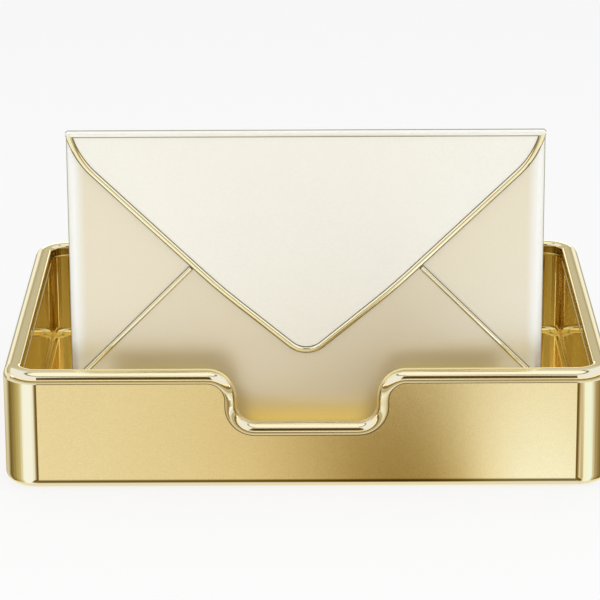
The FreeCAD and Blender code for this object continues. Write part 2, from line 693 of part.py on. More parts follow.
def make_top_flap():
    """One sheet: the pointed flap, its fold bead and a strip rolled into knuckles."""
    body = new_body("top_flap")
    outline = new_sketch(body, "flap_outline", "XZ_Plane", FLAP_BACK)
    draw(outline, flap_edge())
    feature(body, "Pad", "flap_panel", outline, sized("<flap_sheet>"))

    fold_y = negative(FOLD_CENTRE)
    fold = new_sketch(body, "fold_circle", "YZ_Plane", negative(HALF_CASE))
    draw_circle(fold, (fold_y, FOLD_HEIGHT), sized("<fold_radius>"))
    bead = feature(body, "Pad", "fold_bead", fold, sized("<case_width>"))
    half = number(HALF_CASE)
    ends = edges_where(bead.Shape, lambda p: abs(abs(p.x) - half) < 0.01)
    broken = body.newObject("PartDesign::Chamfer", "fold_ends")
    broken.Base = (bead, ends)
    broken.setExpression("Size", sized("<fold_end_chamfer>"))
    doc.recompute()

    strip = new_sketch(body, "strip_section", "YZ_Plane", sized("-(%s) + <knuckle_gap> / 2" % BARREL_HALF))
    draw(strip, rectangle(fold_y, "0", sized("%s + <pin_radius>" % HINGE_HEIGHT),
                          "%s + %s" % (HINGE_HEIGHT, KNUCKLE_RADIUS)))
    feature(body, "Pad", "hinge_strip", strip, sized("2 * (%s) - <knuckle_gap>" % BARREL_HALF))
    clear_knuckles(body, "flap_windows", 0, FIXED_KNUCKLES, HINGE_ROOM)
    add_knuckles(body, "flap_knuckle", 1, MOVING_KNUCKLES)
    bore_for_pin(body, "flap_bore")
    place_in_case(body)
    return body


def make_flap_trim():
    """Round bead swept along the flap's edge, with a rebate that the sheet sits in."""
    body = new_body("flap_trim")
    path = new_sketch(body, "bead_path", "XZ_Plane", BEAD_CENTRE)
    draw(path, flap_edge(), closed=False)
    doc.recompute()
    circle = body.newObject("Sketcher::SketchObject", "bead_section")
    end_x = min(vertex.X for vertex in path.Shape.Vertexes)
    first_run = next(i for i, edge in enumerate(path.Shape.Edges, 1) if edge.BoundBox.XMin < end_x + 0.01)
    circle.AttachmentSupport = [(path, "Edge%d" % first_run)]
    circle.MapMode = "NormalToEdge"
    circle.MapPathParameter = 0.0
    draw_circle(circle, ("0", "0"), sized("<bead_radius>"))
    doc.recompute()
    bead = body.newObject("PartDesign::AdditivePipe", "bead")
    bead.Profile = circle
    bead.Spine = path
    doc.recompute()

    # flat back, level with the back of the flap, then the rebate and the cove under the fold
    half = HALF_CASE
    behind = new_sketch(body, "bead_back_outline", "XZ_Plane", FLAP_BACK)
    draw(behind, rectangle(negative(half), half, "0", sized("<case_height> + <bead_radius>")))
    feature(body, "Pocket", "bead_flat_back", behind, Type="ThroughAll")
    rebate = new_sketch(body, "bead_rebate_outline", "XZ_Plane", FLAP_BACK)
    draw(rebate, flap_edge())
    feature(body, "Pocket", "bead_rebate", rebate, sized("<flap_sheet>"), Reversed=True)
    cove = new_sketch(body, "bead_cove_circle", "YZ_Plane")
    draw_circle(cove, (negative(FOLD_CENTRE), FOLD_HEIGHT), sized("<fold_radius>"))
    feature(body, "Pocket", "bead_cove", cove, Type="ThroughAll", Midplane=True)
    place_in_case(body)
    return body


# ---------------------------------------------------------------- build and write
parts = [make_tray_shell()]
for foot_name, foot_x, foot_y in (
    ("foot_front_left", negative(FOOT_X), negative(FOOT_Y)),
    ("foot_front_right", FOOT_X, negative(FOOT_Y)),
    ("foot_rear_left", negative(FOOT_X), FOOT_Y),
    ("foot_rear_right", FOOT_X, FOOT_Y),
):
    parts.append(make_foot(foot_name, foot_x, foot_y))
parts += [
    make_seat_channel(),
    make_seat_strip(),
    make_channel_screws(),
    make_envelope_back(),
    make_side_rail("side_rail_left", -1),
    make_side_rail("side_rail_right", 1),
    make_bottom_rail(),
    make_side_flap("side_flap_left", -1),
    make_side_flap("side_flap_right", 1),
    make_bottom_flap(),
    make_seam_trim("seam_trim_left", -1),
    make_seam_trim("seam_trim_right", 1),
    make_hinge_pin(),
    make_top_flap(),
    make_flap_trim(),
]
doc.recompute()

for item in doc.Objects:
    if "Invalid" in item.State or "Error" in item.State:
        raise RuntimeError("%s did not build: %s" % (item.Label, item.State))

os.makedirs("parts", exist_ok=True)
for part in parts:
    shape = part.Shape
    if shape.isNull() or not shape.isValid() or not shape.Solids:
        raise RuntimeError("%s has no valid solid" % part.Label)
    shape.exportStep("parts/%s.step" % part.Label)
    box = shape.BoundBox
    print("%-18s %d solid(s) %9.1f mm3  x %.1f..%.1f  y %.1f..%.1f  z %.1f..%.1f" % (
        part.Label, len(shape.Solids), shape.Volume,
        box.XMin, box.XMax, box.YMin, box.YMax, box.ZMin, box.ZMax))
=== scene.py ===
# %% [markdown]
# # A gold mail tray with a standing letter case
#
# The tray is one thick casting in gold, satin on its flat outer faces and polished wherever
# it is rounded. A letter case stands in it. The case is shaped like an envelope and made of
# champagne-coloured sheet, with polished gold wire along its flap and its two seams.
#
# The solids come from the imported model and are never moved. This script gives each of them
# its finish, and builds the studio round them.

# %% Load the solids
import json
import math
import bpy
import numpy as np
from mathutils import Matrix, Vector


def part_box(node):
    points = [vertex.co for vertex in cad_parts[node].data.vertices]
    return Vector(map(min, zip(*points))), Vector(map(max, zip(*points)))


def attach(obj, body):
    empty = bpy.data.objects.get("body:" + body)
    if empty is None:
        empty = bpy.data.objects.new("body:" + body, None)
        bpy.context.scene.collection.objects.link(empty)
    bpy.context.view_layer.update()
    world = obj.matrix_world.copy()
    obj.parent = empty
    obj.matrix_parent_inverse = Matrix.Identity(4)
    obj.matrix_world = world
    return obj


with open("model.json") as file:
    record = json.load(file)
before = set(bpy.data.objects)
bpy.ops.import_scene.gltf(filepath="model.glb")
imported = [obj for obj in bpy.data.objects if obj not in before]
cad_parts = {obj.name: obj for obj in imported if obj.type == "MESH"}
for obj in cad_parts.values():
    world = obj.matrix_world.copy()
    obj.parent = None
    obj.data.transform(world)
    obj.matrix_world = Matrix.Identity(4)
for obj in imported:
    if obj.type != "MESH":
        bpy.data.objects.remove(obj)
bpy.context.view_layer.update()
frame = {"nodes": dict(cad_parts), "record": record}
solids = frame["nodes"]

# %% [markdown]
# ## Colour management
#
# The Standard view shows a colour as it is written, with no film curve over it, so gold stays
# the gold that was chosen. Polished walls that face each other mirror one another many times,
# so reflections are followed further than usual.

# %% Colour management
scene = bpy.context.scene
scene.view_settings.view_transform = "Standard"
scene.cycles.max_bounces = 16
scene.cycles.glossy_bounces = 16
print("view transform:", scene.view_settings.view_transform, "bounces:", scene.cycles.max_bounces)

# %% [markdown]
# ## Helpers for node trees
#
# A material is a small graph. These helpers add a node, join two sockets, bring a value from
# one range into another, calculate, and mix two colours. With them each finish below reads as
# a list of what goes into it.


# %% Helpers for node trees
def add(tree, kind, values=None, **settings):
    """Add a node. Settings are its properties, values are what its input sockets hold."""
    node = tree.nodes.new(kind)
    for name, value in settings.items():
        setattr(node, name, value)
    for socket, value in (values or {}).items():
        node.inputs[socket].default_value = value
    return node


def join(tree, source, target):
    tree.links.new(source, target)


def remap(tree, source, low, high, to_low, to_high, smooth=True):
    """Bring a varying value from one range into another, held at both ends."""
    node = add(tree, "ShaderNodeMapRange", {
        "From Min": low, "From Max": high, "To Min": to_low, "To Max": to_high,
    })
    node.interpolation_type = "SMOOTHSTEP" if smooth else "LINEAR"
    join(tree, source, node.inputs["Value"])
    return node.outputs["Result"]


def combine(tree, operation, first, second):
    """Calculate with two varying values, or with one and a number."""
    node = add(tree, "ShaderNodeMath", operation=operation)
    for socket, value in zip(node.inputs, (first, second)):
        if isinstance(value, (int, float)):
            socket.default_value = value
        else:
            join(tree, value, socket)
    return node.outputs["Value"]


def mix_colors(tree, factor, first, second):
    """From the first colour to the second as the factor goes from 0 to 1."""
    node = add(tree, "ShaderNodeMix", data_type="RGBA")
    join(tree, factor, node.inputs["Factor"])
    for socket, color in ((node.inputs["A"], first), (node.inputs["B"], second)):
        if isinstance(color, tuple):
            socket.default_value = (*color, 1.0)
        else:
            join(tree, color, socket)
    return node.outputs["Result"]


def parts_of(tree, kind):
    """X, Y and Z of a point's place ("Object") or of the way it faces ("Normal")."""
    place = add(tree, "ShaderNodeTexCoord")
    parts = add(tree, "ShaderNodeSeparateXYZ")
    join(tree, place.outputs[kind], parts.inputs["Vector"])
    return parts.outputs


def empty_material(name):
    material = bpy.data.materials.new(name)
    material.use_nodes = True
    material.node_tree.nodes.clear()
    return material, material.node_tree


def new_material(name):
    """A material with an empty Principled shader, ready to be wired."""
    material, tree = empty_material(name)
    shader = add(tree, "ShaderNodeBsdfPrincipled")
    output = add(tree, "ShaderNodeOutputMaterial")
    join(tree, shader.outputs["BSDF"], output.inputs["Surface"])
    return material, tree, shader


print("helpers:", [helper.__name__ for helper in (add, join, remap, combine, mix_colors)])

# %% [markdown]
# ## Blasted grain
#
# Satin metal is metal that was blasted with fine beads. Under a loupe it is a field of tiny
# dimples; from a distance it is a slightly uneven sheen. Two noises, one fine and one broad,
# stand for the dimples and for how evenly the bead jet passed over. It is built once as a
# group, because every metal here has some of it, and press_dimples lays it on a surface.

# %% Blasted grain
NOISE_RANGE = (0.3, 0.7)  # nearly all of a noise's values lie in here


def make_grain_group():
    """Outputs: Grain, the fine dimples, and Drift, the slow change of the finish."""
    group = bpy.data.node_groups.new("blasted_grain", "ShaderNodeTree")
    for name, value in (("Dimples per metre", 1500.0), ("Patches per metre", 18.0)):
        socket = group.interface.new_socket(name, in_out="INPUT", socket_type="NodeSocketFloat")
        socket.default_value = value
    for name in ("Grain", "Drift"):
        group.interface.new_socket(name, in_out="OUTPUT", socket_type="NodeSocketFloat")
    start = add(group, "NodeGroupInput")
    end = add(group, "NodeGroupOutput")
    place = add(group, "ShaderNodeTexCoord")
    for count, detail, result in (
        ("Dimples per metre", 2.0, "Grain"), ("Patches per metre", 3.0, "Drift"),
    ):
        noise = add(group, "ShaderNodeTexNoise", {"Detail": detail, "Roughness": 0.6})
        join(group, place.outputs["Object"], noise.inputs["Vector"])
        join(group, start.outputs[count], noise.inputs["Scale"])
        join(group, noise.outputs["Fac"], end.inputs[result])
    return group


def press_dimples(tree, shader, height, depth):
    bump = add(tree, "ShaderNodeBump", {"Distance": depth, "Strength": 1.0})
    join(tree, height, bump.inputs["Height"])
    join(tree, bump.outputs["Normal"], shader.inputs["Normal"])


blasted_grain = make_grain_group()
print("group:", blasted_grain.name)

# %% [markdown]
# ## Shade drift
#
# No plated or anodised sheet has one even colour: the bath is a little stronger in one place
# than in another, and each dimple catches the light differently. This group takes a colour
# and lightens or darkens it slowly over the piece, and finely from dimple to dimple.

# %% Shade drift
def make_shade_group():
    """Takes a colour with a slow and a fine value, and makes it a little lighter or darker."""
    group = bpy.data.node_groups.new("shade_drift", "ShaderNodeTree")
    group.interface.new_socket("Color", in_out="INPUT", socket_type="NodeSocketColor")
    for name, value in (("Drift", 0.0), ("Grain", 0.0), ("Amount", 0.06), ("Speckle", 0.12)):
        socket = group.interface.new_socket(name, in_out="INPUT", socket_type="NodeSocketFloat")
        socket.default_value = value
    group.interface.new_socket("Color", in_out="OUTPUT", socket_type="NodeSocketColor")
    start = add(group, "NodeGroupInput")
    end = add(group, "NodeGroupOutput")
    slow, fine = (
        combine(group, "MULTIPLY", combine(group, "SUBTRACT", start.outputs[value], 0.5),
                start.outputs[amount])
        for value, amount in (("Drift", "Amount"), ("Grain", "Speckle"))
    )
    factor = combine(group, "ADD", combine(group, "ADD", slow, fine), 1.0)
    tinted = add(group, "ShaderNodeVectorMath", operation="SCALE")
    join(group, start.outputs["Color"], tinted.inputs["Vector"])
    join(group, factor, tinted.inputs["Scale"])
    join(group, tinted.outputs["Vector"], end.inputs["Color"])
    return group


shade_drift = make_shade_group()
print("group:", shade_drift.name)

# %% [markdown]
# ## Painted side highlight and painted flank shade
#
# Two things change a finish from place to place on the letter case, and both are painted
# light. The case's two rounded sides are painted paler, a painted highlight. And the flanks of
# a raised bead are painted dark where they meet the sheet, a painted shade. The first goes by
# where a point lies, the second by which way it faces, so both hold from every side.

# %% Painted side highlight and painted flank shade
# painted highlight: the case's rounded sides are painted paler
PAINTED_SIDE_HIGHLIGHT = (0.95, 0.95, 0.90)
HIGHLIGHT_FROM, HIGHLIGHT_FULL = 0.1055, 0.1115  # metres from the case's middle
# the painted shade's colour on a flank, how squarely a point faces forward where the shade is
# full and where it has gone, and how much further it climbs on the underside
SHADED_FLANK_GOLD = ((0.085, 0.055, 0.01), 0.42, 0.78, 0.30)
SHADED_FLANK_GREY = ((0.32, 0.30, 0.17), 0.22, 0.68, 0.60)


# painted highlight: paler towards the case's two sides
def paint_side_highlight(tree, color):
    sideways = combine(tree, "ABSOLUTE", parts_of(tree, "Object")["X"], 0.0)
    in_highlight = remap(tree, sideways, HIGHLIGHT_FROM, HIGHLIGHT_FULL, 0.0, 1.0)
    return mix_colors(tree, in_highlight, color, PAINTED_SIDE_HIGHLIGHT)


# painted shade: flanks that turn away from the front, more so underneath, are painted dark
def paint_flank_shade(tree, color, shade_color, full, gone, climb):
    facing = parts_of(tree, "Normal")
    forward = combine(tree, "ABSOLUTE", facing["Y"], 0.0)
    below = combine(tree, "MULTIPLY", combine(tree, "MINIMUM", facing["Z"], 0.0), climb)
    forward = combine(tree, "ADD", forward, below)
    return mix_colors(tree, remap(tree, forward, full, gone, 1.0, 0.0), color, shade_color)


print("flank colours:", SHADED_FLANK_GOLD[0], SHADED_FLANK_GREY[0])

# %% [markdown]
# ## A metal finish
#
# Each plain metal here is the same recipe with its own numbers: a colour that drifts a little,
# a roughness that the grain makes uneven, and shallow dimples from the same grain. Anodised
# sheets are made part metal and part varnish, because their clear oxide layer scatters some
# light, and this keeps them pale beside dark things.

# %% A metal finish
PATCHINESS = 0.08  # how much the roughness changes from patch to patch, as a share
DIMPLE_DEPTH = 0.00001


def metal(name, color, roughness, unevenness=0.05, metallic=1.0, flank_shade=None, painted_highlight=False):
    """A metal of one finish, with the painted flank shade and side highlight of the last cell."""
    material, tree, shader = new_material(name)
    shader.inputs["Metallic"].default_value = metallic
    grain = add(tree, "ShaderNodeGroup", node_tree=blasted_grain)
    shade = add(tree, "ShaderNodeGroup", {"Color": (*color, 1.0)}, node_tree=shade_drift)
    for value in ("Drift", "Grain"):
        join(tree, grain.outputs[value], shade.inputs[value])
    shown = shade.outputs["Color"]
    if painted_highlight:
        shown = paint_side_highlight(tree, shown)
    if flank_shade:
        shown = paint_flank_shade(tree, shown, *flank_shade)
    join(tree, shown, shader.inputs["Base Color"])
    fine = remap(tree, grain.outputs["Grain"], *NOISE_RANGE, -unevenness, unevenness, smooth=False)
    slow = remap(tree, grain.outputs["Drift"], *NOISE_RANGE, 1 - PATCHINESS, 1 + PATCHINESS,
                 smooth=False)
    uneven = combine(tree, "MULTIPLY", combine(tree, "ADD", fine, roughness), slow)
    join(tree, uneven, shader.inputs["Roughness"])
    press_dimples(tree, shader, grain.outputs["Grain"], DIMPLE_DEPTH)
    print("finish:", name)
    return material


# %% [markdown]
# ## Where the tray is satin
#
# The flat outer faces are blasted and satin, and everything rounded is polished, because a
# buffing wheel reaches the corners and the rim but is kept off the panels. A point belongs to
# a panel when it lies on one of the tray's four outer planes and faces squarely outward, so
# the masks are made from its place and the way it faces, and nothing is painted by hand.

# %% Where the tray is satin
TRAY_LOW, TRAY_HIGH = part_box("tray_shell")
OUTER_PLANES = (("X", TRAY_HIGH.x), ("Y", TRAY_HIGH.y))
SKIN = 0.0015  # how far inside the outer planes a point still counts as outside
CORNER_RADIUS = 0.0172
BASE_EDGE = 0.005
BASE_ENDS = (0.008, 0.010)  # heights between which the base edge gives way to the corner
DOWNWARD = (0.4, 0.9)  # share of the lean that points down, from corner to base edge
FLAT = 0.001  # keeps the division safe where nothing leans


def panel_tilt(tree):
    """How far a point of the surface leans from the nearest panel's plane, as a sine."""
    facing = parts_of(tree, "Normal")
    squares = [combine(tree, "MULTIPLY", facing[axis], facing[axis]) for axis in "XY"]
    most = combine(tree, "MAXIMUM", *squares)
    rest = combine(tree, "MAXIMUM", combine(tree, "SUBTRACT", 1.0, most), 0.0)
    return combine(tree, "SQRT", rest, 0.0)


def outer_side(tree):
    """1 on the outside of the walls, 0 further in."""
    place = parts_of(tree, "Object")
    masks = [
        combine(tree, "GREATER_THAN", combine(tree, "ABSOLUTE", place[axis], 0.0), reach - SKIN)
        for axis, reach in OUTER_PLANES
    ]
    return combine(tree, "MAXIMUM", *masks)


def base_scale(tree, tilt):
    """Below one on the base edge, whose rounding is tighter than that of the corners."""
    down = combine(tree, "DIVIDE", combine(tree, "MULTIPLY", parts_of(tree, "Normal")["Z"], -1.0),
                   combine(tree, "MAXIMUM", tilt, FLAT))
    low = remap(tree, parts_of(tree, "Object")["Z"], *BASE_ENDS, 1.0, 0.0)
    amount = combine(tree, "MULTIPLY", low, remap(tree, down, *DOWNWARD, 0.0, 1.0))
    return remap(tree, amount, 0.0, 1.0, 1.0, BASE_EDGE / CORNER_RADIUS, smooth=False)


print("tray:", tuple(TRAY_LOW), tuple(TRAY_HIGH))

# %% [markdown]
# ## Where shade is painted inside the tray
#
# Inside the tray the gold is painted deeper and darker, a painted shade of the hollow. Just
# under the rim, down to the fine line that runs round the walls, the metal is painted darker
# still, a painted shade under the rim. Both are masks again: inner_side goes by how far a
# point is from the rim's top and from the outer planes, and the band under the rim by its
# height. On the side walls the painted shade reaches below the line.

# %% Where shade is painted inside the tray
LINE_HEIGHT = TRAY_HIGH.z - 0.0062
# from where it holds to where it has gone: below the rim's top, and behind the outer planes
INNER_TOP_ENDS = (TRAY_HIGH.z - 0.0022, TRAY_HIGH.z - 0.0004)
INNER_SIDE_ENDS = (0.0085, 0.0078)
# painted shade under the rim: where it begins above the line, where it ends under the rim, how
# much lower it begins on the side walls, and how dark it is on front and rear and on side walls
RIM_SHADE_LOW = (LINE_HEIGHT + 0.0005, LINE_HEIGHT + 0.0008)
RIM_SHADE_HIGH = (TRAY_HIGH.z - 0.0024, TRAY_HIGH.z - 0.0012)
RIM_SHADE_DROP = 0.0014
RIM_SHADE_DEPTH = (0.5, 0.85)
SIDE_WALL = (0.45, 0.75)  # how far a wall is turned sideways, from front wall to side wall


def inner_side(tree):
    """1 on the floor and the inner walls of the tray, 0 on its rim and outside."""
    place = parts_of(tree, "Object")
    mask = remap(tree, place["Z"], *INNER_TOP_ENDS, 1.0, 0.0)
    for axis, reach in OUTER_PLANES:
        distance = combine(tree, "ABSOLUTE", place[axis], 0.0)
        inside = remap(tree, distance, reach - INNER_SIDE_ENDS[0], reach - INNER_SIDE_ENDS[1], 1.0, 0.0)
        mask = combine(tree, "MULTIPLY", mask, inside)
    return mask


def rim_shade_mask(tree):
    """How dark the painted shade is between the rim's inner rounding and the fine line below it.
    """
    height = parts_of(tree, "Object")["Z"]
    turned = combine(tree, "ABSOLUTE", parts_of(tree, "Normal")["X"], 0.0)
    sideways = remap(tree, turned, *SIDE_WALL, 0.0, 1.0)
    raised = combine(tree, "ADD", height, combine(tree, "MULTIPLY", sideways, RIM_SHADE_DROP))
    lower = remap(tree, raised, *RIM_SHADE_LOW, 0.0, 1.0)
    upper = remap(tree, height, *RIM_SHADE_HIGH, 1.0, 0.0)
    depth = remap(tree, sideways, 0.0, 1.0, *RIM_SHADE_DEPTH)
    return combine(tree, "MULTIPLY", combine(tree, "MULTIPLY", lower, upper), depth)


print("line under the rim at", round(LINE_HEIGHT, 4))

# %% [markdown]
# ## Gold of the tray
#
# Now the masks choose. The rim and the rounded parts are a paler gold, the panels a warmer
# one, and the inside is painted a deeper, darker gold as painted shade. A fine dark line, a
# painted dark reflection, frames each panel where the polish meets the blasted face. Roughness
# follows the same masks: satin on the panels, close to a mirror elsewhere. The dimples show on
# the panels alone.

# %% Gold of the tray
GOLD = (0.86, 0.69, 0.335)
RIM_GOLD = (0.88, 0.78, 0.50)
# painted shade: the inside of the tray is given a deeper, darker gold
SHADED_INSIDE_GOLD = (0.76, 0.60, 0.22)
# painted dark reflection for the line round each panel, and painted shade under the rim
PAINTED_SHADE_GOLD = (0.17, 0.10, 0.012)
SATIN = 0.30
INSIDE = 0.05
POLISHED = 0.09
PANEL_UNEVENNESS = 0.03
PANEL_SPECKLE = 0.30
PANEL_DIMPLE_DEPTH = 0.00004
# how far a point leans from its panel: where the satin ends, where the polish is full, where
# the painted dark line comes and goes, and where the panel's gold gives way to the rim's
SATIN_ENDS = (0.004, 0.02)
POLISH_FULL = (0.02, 0.12)
PAINTED_LINE_COMES = (0.012, 0.045)
PAINTED_LINE_GOES = (0.085, 0.13)
PANEL_GOLD_ENDS = (0.05, 0.09)


def tray_color(tree, lean, outer):
    """The gold of the panels, the rim and the inside, with painted shade and painted dark lines.
    """
    framed = combine(tree, "MULTIPLY", outer, remap(tree, lean, *PANEL_GOLD_ENDS, 1.0, 0.0))
    plate = mix_colors(tree, framed, RIM_GOLD, GOLD)
    inner = inner_side(tree)
    # painted shade: a darker gold inside the tray
    inside_shaded = mix_colors(tree, inner, plate, SHADED_INSIDE_GOLD)
    # painted dark reflection: a fine dark line round each panel
    line = combine(tree, "MULTIPLY", remap(tree, lean, *PAINTED_LINE_COMES, 0.0, 1.0),
                   remap(tree, lean, *PAINTED_LINE_GOES, 1.0, 0.0))
    line = combine(tree, "MULTIPLY", line, outer)
    # painted shade in the band under the rim, inside the tray
    rim_shade = combine(tree, "MULTIPLY", inner, rim_shade_mask(tree))
    return mix_colors(tree, combine(tree, "MAXIMUM", line, rim_shade), inside_shaded, PAINTED_SHADE_GOLD)


def make_tray_gold():
    material, tree, shader = new_material("tray_gold")
    shader.inputs["Metallic"].default_value = 1.0
    tilt = panel_tilt(tree)
    outer = outer_side(tree)
    panel = combine(tree, "MULTIPLY", outer, remap(tree, tilt, *SATIN_ENDS, 1.0, 0.0))
    lean = combine(tree, "MULTIPLY", tilt, base_scale(tree, tilt))
    grain = add(tree, "ShaderNodeGroup", node_tree=blasted_grain)

    shade = add(tree, "ShaderNodeGroup", {"Amount": 0.05}, node_tree=shade_drift)
    join(tree, tray_color(tree, lean, outer), shade.inputs["Color"])
    join(tree, combine(tree, "MULTIPLY", panel, PANEL_SPECKLE), shade.inputs["Speckle"])
    for value in ("Drift", "Grain"):
        join(tree, grain.outputs[value], shade.inputs[value])
    join(tree, shade.outputs["Color"], shader.inputs["Base Color"])

    smoothness = add(tree, "ShaderNodeMix", {"B": SATIN}, data_type="FLOAT")
    join(tree, panel, smoothness.inputs["Factor"])
    join(tree, remap(tree, tilt, *POLISH_FULL, INSIDE, POLISHED), smoothness.inputs["A"])
    fine = remap(tree, grain.outputs["Grain"], *NOISE_RANGE, -PANEL_UNEVENNESS, PANEL_UNEVENNESS,
                 smooth=False)
    fine = combine(tree, "MULTIPLY", fine, panel)
    uneven = combine(tree, "ADD", smoothness.outputs["Result"], fine)
    join(tree, uneven, shader.inputs["Roughness"])

    dimples = combine(tree, "MULTIPLY", grain.outputs["Grain"], panel)
    press_dimples(tree, shader, dimples, PANEL_DIMPLE_DEPTH)
    print("finish: tray_gold")
    return material


tray_gold = make_tray_gold()

# %% [markdown]
# ## Finishes of the letter case
#
# The case's sheets are champagne anodised and satin. They reflect the pale room softly, so
# most of what is seen is the sheet's own colour: cream on the flap, warmer on the side flaps,
# warmest at the bottom. The wires along the flap and the seams are polished, which makes them
# draw thin bright and dark lines; their flanks are also painted dark, a painted shade. Painted
# shade draws the grey lines along the flap's fold and the rails as well, and the case's pale
# sides are a painted highlight.

# %% Finishes of the letter case
finishes = {"tray_gold": tray_gold}
# name, colour, roughness, and whatever else metal() takes
for name, color, roughness, more in (
    ("channel_gold", (0.80, 0.62, 0.29), 0.24, {}),
    ("back_champagne", (0.84, 0.79, 0.66), 0.42, {"metallic": 0.7}),
    ("rail_pearl", (0.88, 0.81, 0.66), 0.42,
     {"metallic": 0.6, "flank_shade": SHADED_FLANK_GREY, "painted_highlight": True}),
    ("side_champagne", (0.85, 0.78, 0.61), 0.38,
     {"unevenness": 0.03, "metallic": 0.7, "painted_highlight": True}),
    ("bottom_champagne", (0.775, 0.695, 0.525), 0.34, {"unevenness": 0.02, "metallic": 0.65}),
    ("seam_gold", (0.98, 0.92, 0.66), 0.14, {"unevenness": 0.02, "flank_shade": SHADED_FLANK_GOLD}),
    ("pin_brass", (0.80, 0.64, 0.32), 0.22, {"unevenness": 0.02}),
    ("flap_cream", (0.955, 0.94, 0.86), 0.45, {"metallic": 0.7, "flank_shade": SHADED_FLANK_GREY}),
    ("bead_gold", (0.98, 0.90, 0.58), 0.12, {"unevenness": 0.02, "flank_shade": SHADED_FLANK_GOLD}),
    ("screw_steel", (0.55, 0.54, 0.52), 0.30, {}),
):
    finishes[name] = metal(name, color, roughness, **more)

# %% [markdown]
# ## Rubber
#
# The feet and the strip in the channel are moulded rubber: almost black, dull, with a fine
# texture from the mould and a trace of dust that lightens it in patches.

# %% Rubber
MOULD_TEXTURE = {"Dimples per metre": 1800.0, "Patches per metre": 120.0}
MOULD_DEPTH = 0.00003
DUST = 0.5
UNEVEN_DULLNESS = 0.08


def rubber(name, color, roughness):
    material, tree, shader = new_material(name)
    grain = add(tree, "ShaderNodeGroup", MOULD_TEXTURE, node_tree=blasted_grain)
    shade = add(tree, "ShaderNodeGroup", {"Color": (*color, 1.0), "Amount": DUST},
                node_tree=shade_drift)
    join(tree, grain.outputs["Drift"], shade.inputs["Drift"])
    join(tree, shade.outputs["Color"], shader.inputs["Base Color"])
    uneven = remap(tree, grain.outputs["Grain"], *NOISE_RANGE, roughness - UNEVEN_DULLNESS,
                   roughness + UNEVEN_DULLNESS, smooth=False)
    join(tree, uneven, shader.inputs["Roughness"])
    press_dimples(tree, shader, grain.outputs["Grain"], MOULD_DEPTH)
    print("finish:", name)
    return material


finishes["foot_rubber"] = rubber("foot_rubber", (0.035, 0.034, 0.033), 0.7)
finishes["strip_rubber"] = rubber("strip_rubber", (0.06, 0.055, 0.05), 0.8)

# %% [markdown]
# ## Give each solid its finish
#
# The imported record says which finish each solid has. Every solid has one material slot, so
# the finish goes into the first one.

# %% Give each solid its finish
for part in frame["record"]["subparts"]:
    solids[part["node"]].data.materials.clear()
    solids[part["node"]].data.materials.append(finishes[part["material_slot"]])

# %% [markdown]
# ## Path of the line under the rim
#
# A fine half-round line runs round the inside of the tray, a little below the rim, and stops
# at both sides of the notch. On the real tray it is cut into the pattern that the casting is
# made from. First comes its path: the inner outline of the walls with its four rounded
# corners, from one side of the notch to the other.

# %% Path of the line under the rim
WALL = 0.0089
LINE_END = 0.0395  # from the tray's middle to the line's end beside the notch


def inner_outline(corner_steps=14):
    """Places round the inside of the walls, with the way out of the metal at each of them."""
    half_width = TRAY_HIGH.x - WALL
    half_depth = TRAY_HIGH.y - WALL
    radius = CORNER_RADIUS - WALL
    stops = [(LINE_END, -half_depth, math.radians(90))]
    for side_x, side_y, first in ((1, -1, -90), (1, 1, 0), (-1, 1, 90), (-1, -1, 180)):
        for step in range(corner_steps + 1):
            turn = math.radians(first + 90 * step / corner_steps)
            x = side_x * (half_width - radius) + radius * math.cos(turn)
            y = side_y * (half_depth - radius) + radius * math.sin(turn)
            stops.append((x, y, turn + math.pi))
    stops.append((-LINE_END, -half_depth, math.radians(90)))
    return stops


print("path of the line:", len(inner_outline()), "places")

# %% [markdown]
# ## Line under the rim
#
# A small circle is carried along the path, half of it sunk in the metal, and its two ends are
# closed with a rounded tip. The line moves with the tray and has the tray's own plating.

# %% Line under the rim
LINE_RADIUS = 0.00045
TIP_SMALLEST = 0.02  # of the radius, so that the last circle doesn't shrink to a point


def rounded_tip(stop, way, steps=4):
    """Ever smaller stops beyond one end of the line."""
    x, y, turn = stop
    leans = [math.pi / 2 * step / steps for step in range(1, steps + 1)]
    return [
        (x + way * LINE_RADIUS * math.sin(lean), y, turn,
         LINE_RADIUS * max(math.cos(lean), TIP_SMALLEST))
        for lean in leans
    ]


def make_rim_line(sides=12):
    outline = inner_outline()
    stops = rounded_tip(outline[0], -1)[::-1]
    stops += [(x, y, turn, LINE_RADIUS) for x, y, turn in outline]
    stops += rounded_tip(outline[-1], 1)
    points = [
        (x + size * math.cos(around) * math.cos(turn),
         y + size * math.cos(around) * math.sin(turn),
         LINE_HEIGHT + size * math.sin(around))
        for x, y, turn, size in stops
        for around in (2 * math.pi * k / sides for k in range(sides))
    ]
    faces = [
        (ring + k, ring + (k + 1) % sides, ring + sides + (k + 1) % sides, ring + sides + k)
        for ring in range(0, (len(stops) - 1) * sides, sides) for k in range(sides)
    ]
    last = (len(stops) - 1) * sides
    faces += [tuple(range(sides))[::-1], tuple(range(last, last + sides))]
    mesh = bpy.data.meshes.new("rim_line")
    mesh.from_pydata(points, [], faces)
    mesh.polygons.foreach_set("use_smooth", [True] * len(faces))
    mesh.materials.append(finishes["tray_gold"])
    line = bpy.data.objects.new("rim_line", mesh)
    scene.collection.objects.link(line)
    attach(line, "tray")
    print("rim_line:", len(faces), "faces")


make_rim_line()

# %% [markdown]
# ## Floor
#
# The floor is pale and plain, and it fills the picture. The camera sees it as an even pale
# grey with a trace of the object's soft shadow. Polished metal doesn't mirror it, because the
# light tent stands in for it there. All other rays see ordinary matt paint, so that the even
# tone adds no light to the object.

# %% Floor
FLOOR_TONE = 0.945
SHADOW_SHARE = 0.16
FLOOR_SIZE = 30.0


def grey(tone):
    return (tone, tone, tone, 1.0)


